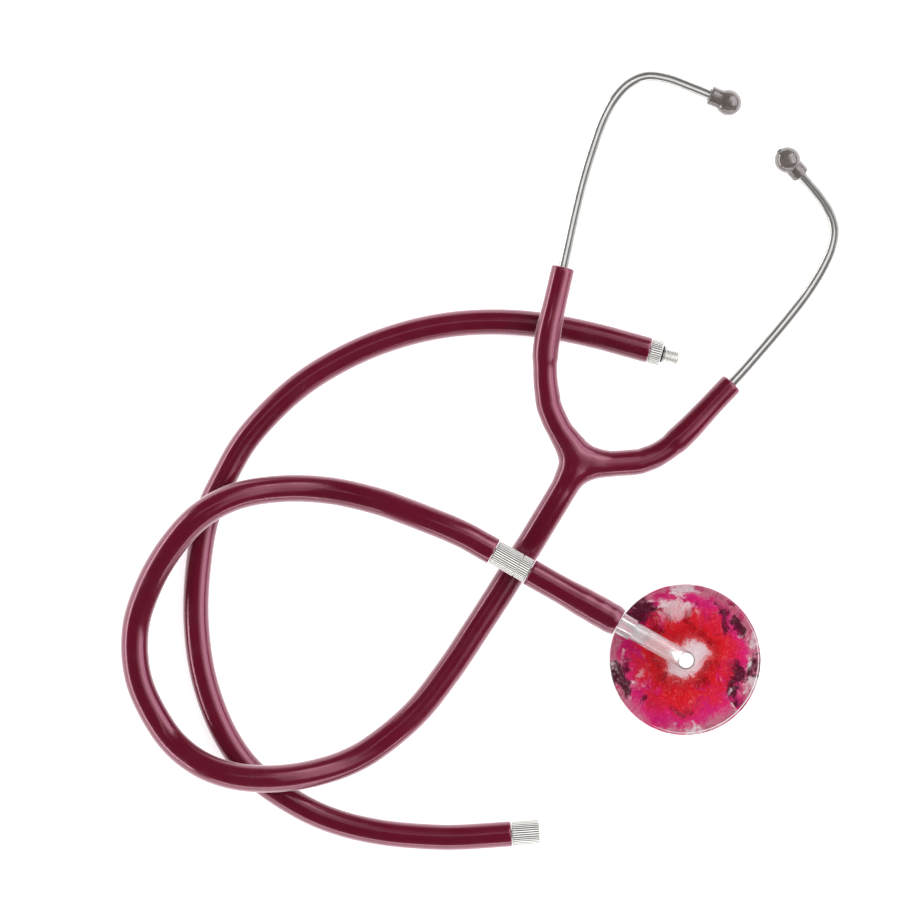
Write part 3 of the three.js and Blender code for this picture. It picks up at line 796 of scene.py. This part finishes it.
def seal(name, at, direction):
    """A seal ring on a plug's neck."""
    a = 2 * np.pi * np.arange(16) / 16
    profile = list(zip(SEAL_AT + SEAL_SECTION * np.sin(a), SEAL_R + SEAL_SECTION * np.cos(a)))
    return make(name, [swept(straight(at, direction), profile, 48, closed=True)], [RUBBER_LOOK])


male_out, female_out = unit((0.9636, -0.2674, 0)), unit((0.9976, 0.0698, 0))
male_at = spare_route.frame(0.0)[0][0] + GAP * male_out
female_at = spare_route.frame(spare_route.length)[0][0] + GAP * female_out
socket_end = fitting("coupling_sleeve", on_line(COUPLING_FAR), LINE, female_profile())
plug_end = fitting("coupling_plug_end", on_line(COUPLING_NEAR), -LINE, male_profile())
plug_seal = seal("coupling_seal", on_line(COUPLING_NEAR), -LINE)
spare_plug = fitting("extension_plug_end", male_at, male_out, male_profile())
spare_seal = seal("extension_seal", male_at, male_out)
spare_socket = fitting("extension_sleeve", female_at, female_out, female_profile())

# ---------------- ear tubes and tips
LEFT_TUBE = [
    (-49.6, 135.2), (-48.2, 141.2), (-46.4, 149.0), (-44.9, 155.8), (-42.0, 169.0), (-38.7, 182.4),
    (-34.7, 195.4), (-31.4, 204.4), (-26.8, 212.8), (-21.3, 218.4), (-15.0, 221.0), (-7.2, 220.2),
    (1.8, 217.0), (8.9, 214.2), (15.4, 211.6),
]
RIGHT_TUBE = [
    (8.1, 94.6), (12.2, 99.0), (18.0, 105.1), (22.6, 110.1), (30.6, 119.3), (38.5, 128.7),
    (46.2, 138.7, 0.4), (52.1, 148.2, 1.0), (55.8, 156.6, 1.8), (56.7, 163.4, 2.5),
    (54.9, 169.6, 3.2), (51.1, 175.4, 4.0), (46.9, 180.3, 4.7), (43.8, 183.7, 5.2),
    (39.1, 188.8, 6.0),
]


def ear_tube(name, route):
    """A bent tube with softened ends, bored where the ear tip can come off."""
    length, r = route.length, EAR_TUBE_R
    middle = [(s, r) for s in np.arange(1.5, length - 0.8, 1.5)]
    stations = [(0.0, 1.5), (0.1, 1.85), (0.35, r), *middle, (length - 0.35, r),
                (length - 0.1, 1.88), (length, 1.7), (length, 1.5), (length - 0.1, EAR_BORE),
                (length - 9.0, EAR_BORE)]
    return make(name, [swept(route, stations, 32)], [CHROME_LOOK], 50)


def ear_tip(name, route):
    """A sleeve with a rounded lip, a ball with a soft shoulder, and the sound hole in front."""
    out = route.frame(route.length)[1][0]
    face = route.frame(route.length)[0][0] - TIP_OVERLAP * out
    profile = [(7.4, 2.35), (0.45, 2.35), (0.1, 2.5), (0.0, 2.75), (0.0, 3.25), (0.12, 3.52),
               (0.4, 3.68), (1.0, 3.72), (2.6, 3.7), (4.0, 3.72), (4.3, 3.8)]
    for a in np.radians(np.linspace(-42, 76, 19)):
        profile.append((TIP_BALL_AT + TIP_R * math.sin(a), TIP_R * math.cos(a)))
    profile += [(12.9, 1.22), (12.82, 1.12), (12.5, 1.1), (8.0, 1.1)]
    return make(name, [swept(straight(face, out), profile, 56, closed=True)], [TIP_LOOK], 55)


left_route, right_route = head_route(LEFT_TUBE), head_route(RIGHT_TUBE)
left_tube = ear_tube("left_chrome_tube", left_route)
right_tube = ear_tube("right_chrome_tube", right_route)
left_tip = ear_tip("left_soft_tip", left_route)
right_tip = ear_tip("right_soft_tip", right_route)

# ---------------- chestpiece
DISC_SIDES = 160
upright = straight((0, 0, 0), (0, 0, 1))


def rounded(z, r, size, start, end, steps=5):
    """Stations of a rounded edge about (z, r), from angle start to end in degrees."""
    return [(z + size * math.sin(math.radians(a)), r + size * math.cos(math.radians(a)))
            for a in np.linspace(start, end, steps)]


def disc(name, stations, look):
    return make(name, [swept(upright, stations, DISC_SIDES, closed=True)], [look], 30)


clear_disc = disc("clear_disc", [
    (DISC_LOW, SOUND_HOLE_R), *rounded(3.2, 28.4, 0.3, -90, 0), *rounded(8.5, 27.8, 0.9, 0, 90, 7),
    (DISC_TOP, SOUND_HOLE_R),
], ACRYLIC_LOOK)
# The print is bonded to the clear disc: its face lies just inside it, with no air between them.
art = disc("printed_disc", [
    (2.3, 2.85), (2.3, 27.65), (2.35, 27.7), (2.9, 27.7), (2.96, 27.65), (2.96, 2.85),
], ART_LOOK)
ring = disc("clear_base_ring", [
    (0.0, 26.9), *rounded(0.4, 28.3, 0.4, -90, 0), (1.85, 28.7), (2.0, 28.55), (2.0, 24.8),
    (0.65, 24.8), (0.65, 26.9),
], ACRYLIC_LOOK)
sheet_stations = [(0.0, 0.5), (0.0, 21.0), (0.06, 21.5), (0.06, 23.5), (0.0, 24.0), (0.0, 26.5),
                  (0.08, 26.6), (0.27, 26.6), (0.35, 26.5), (0.35, 24.0), (0.41, 23.5),
                  (0.41, 21.5), (0.35, 21.0), (0.35, 0.5)]
diaphragm = make("diaphragm_film", [swept(upright, sheet_stations, DISC_SIDES)], [FILM_LOOK], 30)


def primitive(kind, **sizes):
    """A bmesh primitive as an object, for the boolean steps."""
    bm = bmesh.new()
    getattr(bmesh.ops, "create_" + kind)(bm, **sizes)
    mesh = bpy.data.meshes.new("cutter")
    bm.to_mesh(mesh)
    bm.free()
    obj = bpy.data.objects.new("cutter", mesh)
    bpy.context.scene.collection.objects.link(obj)
    return obj


def rod(radius, start, end, sides=64):
    start, end = np.asarray(start, float), np.asarray(end, float)
    length = np.linalg.norm(end - start)
    obj = primitive("cone", cap_ends=True, segments=sides, radius1=radius * MM, radius2=radius * MM,
                    depth=length * MM)
    turn = Vector((0, 0, 1)).rotation_difference(Vector(end - start)).to_matrix().to_4x4()
    obj.data.transform(Matrix.Translation(Vector((start + end) / 2 * MM)) @ turn)
    return obj


def combine(base, *steps):
    """Joins and cuts the base with each other object, and returns the result as a part."""
    for operation, other in steps:
        modifier = base.modifiers.new("cut", "BOOLEAN")
        modifier.operation, modifier.object, modifier.solver = operation, other, "MANIFOLD"
    graph = bpy.context.evaluated_depsgraph_get()
    mesh = bpy.data.meshes.new_from_object(base.evaluated_get(graph))
    for obj in (base, *(other for _, other in steps)):
        bpy.data.objects.remove(obj)
    points = np.array([v.co for v in mesh.vertices]) / MM
    faces = [tuple(p.vertices) for p in mesh.polygons]
    bpy.data.meshes.remove(mesh)
    return points, faces, plain_corners(faces)


def stem_solid():
    """The clear stem: a rod along the line with a round end, a foot and a plate down to the disc,
    less the stem's bore, the barb's socket and the sound hole."""
    top, beyond = np.array([0, 0, LINE_Z]), STEM_END + 1
    plate_size = Vector((STEM_END, 3.0, 6.0))
    dome = primitive("uvsphere", u_segments=64, v_segments=32, radius=STEM_R * MM)
    dome.data.transform(Matrix.Translation((0, 0, LINE_Z * MM)))
    plate = primitive("cube", size=1.0)
    middle = Vector((-plate_size.x / 2, 0, STEM_FOOT + plate_size.z / 2))
    plate.data.transform(Matrix.Translation(middle * MM)
                         @ Matrix.Diagonal(plate_size * MM).to_4x4())
    plate.data.transform(Matrix.Rotation(LINE_ANGLE, 4, "Z"))
    return combine(
        rod(STEM_R, top, on_line(STEM_END)), ("UNION", dome),
        ("UNION", rod(STEM_R, (0, 0, STEM_FOOT), top)), ("UNION", plate),
        ("DIFFERENCE", rod(STEM_BORE, top, on_line(beyond), 48)),
        ("DIFFERENCE", rod(SOCKET_BORE, on_line(SOCKET_AT), on_line(beyond), 48)),
        ("DIFFERENCE", rod(SOUND_HOLE_R, (0, 0, 9.0), (0, 0, SOUND_HOLE_TOP), 48)),
    )


def hole_end():
    """The drilled end of the sound hole, a thin frosted plate."""
    outline = [(0, 2.0), (0, 2.5), (0.03, 2.58), (0.08, 2.58), (0.1, 2.5)]
    return swept(straight((0, 0, HOLE_END_Z), (0, 0, 1)), outline, 48)


def drill_tip():
    """The drilled end of the stem's bore, a thin frosted tongue under the bore's roof."""
    rows, columns = 12, 10
    start, end, inner, outer = 2.8, 6.4, 2.24, 2.31
    wide, narrow = math.radians(58), math.radians(1.5)
    side, up = np.cross(LINE, (0, 0, 1)), np.array([0, 0, 1.0])
    points = []
    for layer in (inner, outer):
        for i, d in enumerate(np.linspace(start, end, rows)):
            spread = wide * (1 - i / (rows - 1)) + narrow
            for a in np.linspace(-spread, spread, columns):
                points.append(on_line(d) + layer * (math.cos(a) * up + math.sin(a) * side))
    per = rows * columns
    faces = []
    for i in range(rows - 1):
        for k in range(columns - 1):
            first = i * columns + k
            quad = (first, first + 1, first + columns + 1, first + columns)
            faces.append(quad)
            faces.append(tuple(per + v for v in quad[::-1]))
    edge = list(range(columns)) + [(i + 1) * columns - 1 for i in range(1, rows)]
    edge += [(rows - 1) * columns + k for k in range(columns - 2, -1, -1)]
    edge += [i * columns for i in range(rows - 2, 0, -1)]
    for a, b in zip(edge, edge[1:] + edge[:1]):
        faces.append((b, a, per + a, per + b))
    return np.array(points), faces, plain_corners(faces)


# the bore ends take the second material, frosted white with a painted glow
stem = make("clear_stem", [stem_solid(), (*hole_end(), 1), (*drill_tip(), 1)],
            [MOULDED_LOOK, FROSTED_GLOW_LOOK], 30)
barb_stations = [
    (17.6, 1.7), (17.6, 2.5), (17.7, 2.6), (22.9, 2.6), (22.9, 3.85),
    *rounded(23.2, 3.8, 0.3, -90, 0), *rounded(28.6, 3.8, 0.3, 0, 90), (28.9, 2.6), (36.0, 2.6),
    (36.4, 3.0), (40.5, 2.6), (42.6, 2.6), (43.0, 3.0), (49.5, 2.3), (49.5, 1.7),
]
barb = make("clear_collar", [swept(line_out, barb_stations, 72, closed=True)], [MOULDED_LOOK], 30)

# ---------------- what moves with what
def settle(obj, body, node):
    """Gives a piece the body it rides, and hides the CAD node it stands in for."""
    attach(obj, body)
    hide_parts(node)


settle(spare_hose, "extension_hose", "spare_hose")
settle(spare_plug, "extension_hose", "spare_male_connector")
settle(spare_socket, "extension_hose", "spare_female_connector")
settle(spare_seal, "extension_hose", "spare_seal_ring")
settle(main_hose, "tubing", "main_hose")
settle(socket_end, "tubing", "female_connector")
settle(lower_hose, "lower_line", "lower_hose")
settle(plug_end, "coupling_plug", "male_connector")
settle(plug_seal, "coupling_plug", "seal_ring")
settle(left_tube, "left_tube_body", "left_ear_tube")
settle(right_tube, "right_tube_body", "right_ear_tube")
settle(left_tip, "left_tip_body", "left_ear_tip")
settle(right_tip, "right_tip_body", "right_ear_tip")
settle(clear_disc, "chestpiece", "chest_body")
settle(stem, "chestpiece", "chest_stem")
settle(barb, "chestpiece", "stem_barb")
settle(art, "chestpiece", "art_disc")
settle(ring, "chestpiece", "base_ring")
settle(diaphragm, "chestpiece", "diaphragm")
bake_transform(left_skin)
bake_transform(right_skin)
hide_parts("yoke_centre", "left_arm")
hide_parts("right_arm")
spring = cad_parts["leaf_spring"]
spring.data.materials.clear()
spring.data.materials.append(SPRING_LOOK)

# ---------------- floor and light
FLOOR_HALF, FLOOR_Z = 30.0, -0.0002


def floor_look():
    """White paper that glows a little, so that shadows stay faint."""
    look = Look("studio_floor", Specular_IOR_Level=0.1)
    tone = look.ramp(look.noise(3.0, 2.0), (0.3, (0.86, 0.86, 0.86)), (0.7, (0.88, 0.88, 0.88)))
    look.set(Base_Color=tone, Roughness=0.7)
    look.set(Emission_Color=(1.0, 1.0, 1.0), Emission_Strength=0.55)
    return look.material


floor_mesh = bpy.data.meshes.new("studio_floor")
floor_corners = [(x * FLOOR_HALF, y * FLOOR_HALF, FLOOR_Z)
                 for x, y in ((-1, -1), (1, -1), (1, 1), (-1, 1))]
floor_mesh.from_pydata(floor_corners, [], [(0, 1, 2, 3)])
floor_mesh.materials.append(floor_look())
floor = bpy.data.objects.new("studio_floor", floor_mesh)
bpy.context.scene.collection.objects.link(floor)

MIDDLE = Vector((-0.07, 0.08, 0.0))
EAR_TUBES = [left_tube, right_tube]
FITTINGS = [socket_end, plug_end, spare_plug, spare_socket]
METALS = EAR_TUBES + FITTINGS


def softbox(name, at, size, radiance, pieces=(), state="INCLUDE", colour=(1.0, 1.0, 1.0)):
    """A rectangular light aimed at the object's middle. It lights everything, or only the pieces
    given, or with the state EXCLUDE everything but them."""
    data = bpy.data.lights.new(name, "AREA")
    data.color = colour
    data.shape, data.size, data.size_y = "RECTANGLE", size[0], size[1]
    data.energy = radiance * math.pi * size[0] * size[1]
    obj = bpy.data.objects.new(name, data)
    obj.location = at
    obj.rotation_euler = (MIDDLE - Vector(at)).to_track_quat("-Z", "Y").to_euler()
    obj.visible_camera = False
    bpy.context.scene.collection.objects.link(obj)
    if pieces:
        lit = bpy.data.collections.new(name + "_pieces")
        for piece in pieces:
            lit.objects.link(piece)
        for entry in lit.collection_objects:
            entry.light_linking.link_state = state
        obj.light_linking.receiver_collection = lit


# The key is three softboxes one behind the other, so that its highlight fades at both sides.
for name, at, height, radiance in (("key_wide", (0.98, 0.45, 1.08), 1.95, 0.7),
                                   ("key_middle", (0.96, 0.44, 1.06), 1.2, 0.7),
                                   ("key_core", (0.94, 0.43, 1.04), 0.5, 2.1)):
    softbox(name, at, (2.2, height), radiance, METALS, "EXCLUDE")
softbox("key_edge", (1.35, 0.6, 0.58), (2.2, 0.5), 2.2, METALS, "EXCLUDE", (0.90, 0.80, 1.0))
softbox("top_strip", (-0.1, 0.56, 1.95), (1.4, 0.12), 2.0)
softbox("left_strip", (-1.5, 0.1, 0.24), (2.4, 0.3), 6.5)
softbox("front_strip", (-0.1, -1.35, 0.22), (2.2, 0.22), 5.0)
softbox("tube_top", (-0.04, 0.14, 1.9), (1.6, 1.6), 1.6, EAR_TUBES)
softbox("fitting_top", (-0.04, 0.08, 1.4), (1.9, 1.9), 1.35, FITTINGS)
softbox("metal_side", (1.4, 0.45, 0.55), (2.2, 0.6), 1.1, METALS)

# The world fills the shadows evenly, and stays out of reflections so that glossy surfaces keep
# their depth.
world = bpy.data.worlds.new("studio")
bpy.context.scene.world = world
world.use_nodes = True
world.node_tree.nodes["Background"].inputs["Color"].default_value = (0.85, 0.85, 0.85, 1.0)
world.cycles_visibility.glossy = False
bpy.context.scene.view_settings.view_transform = "Standard"
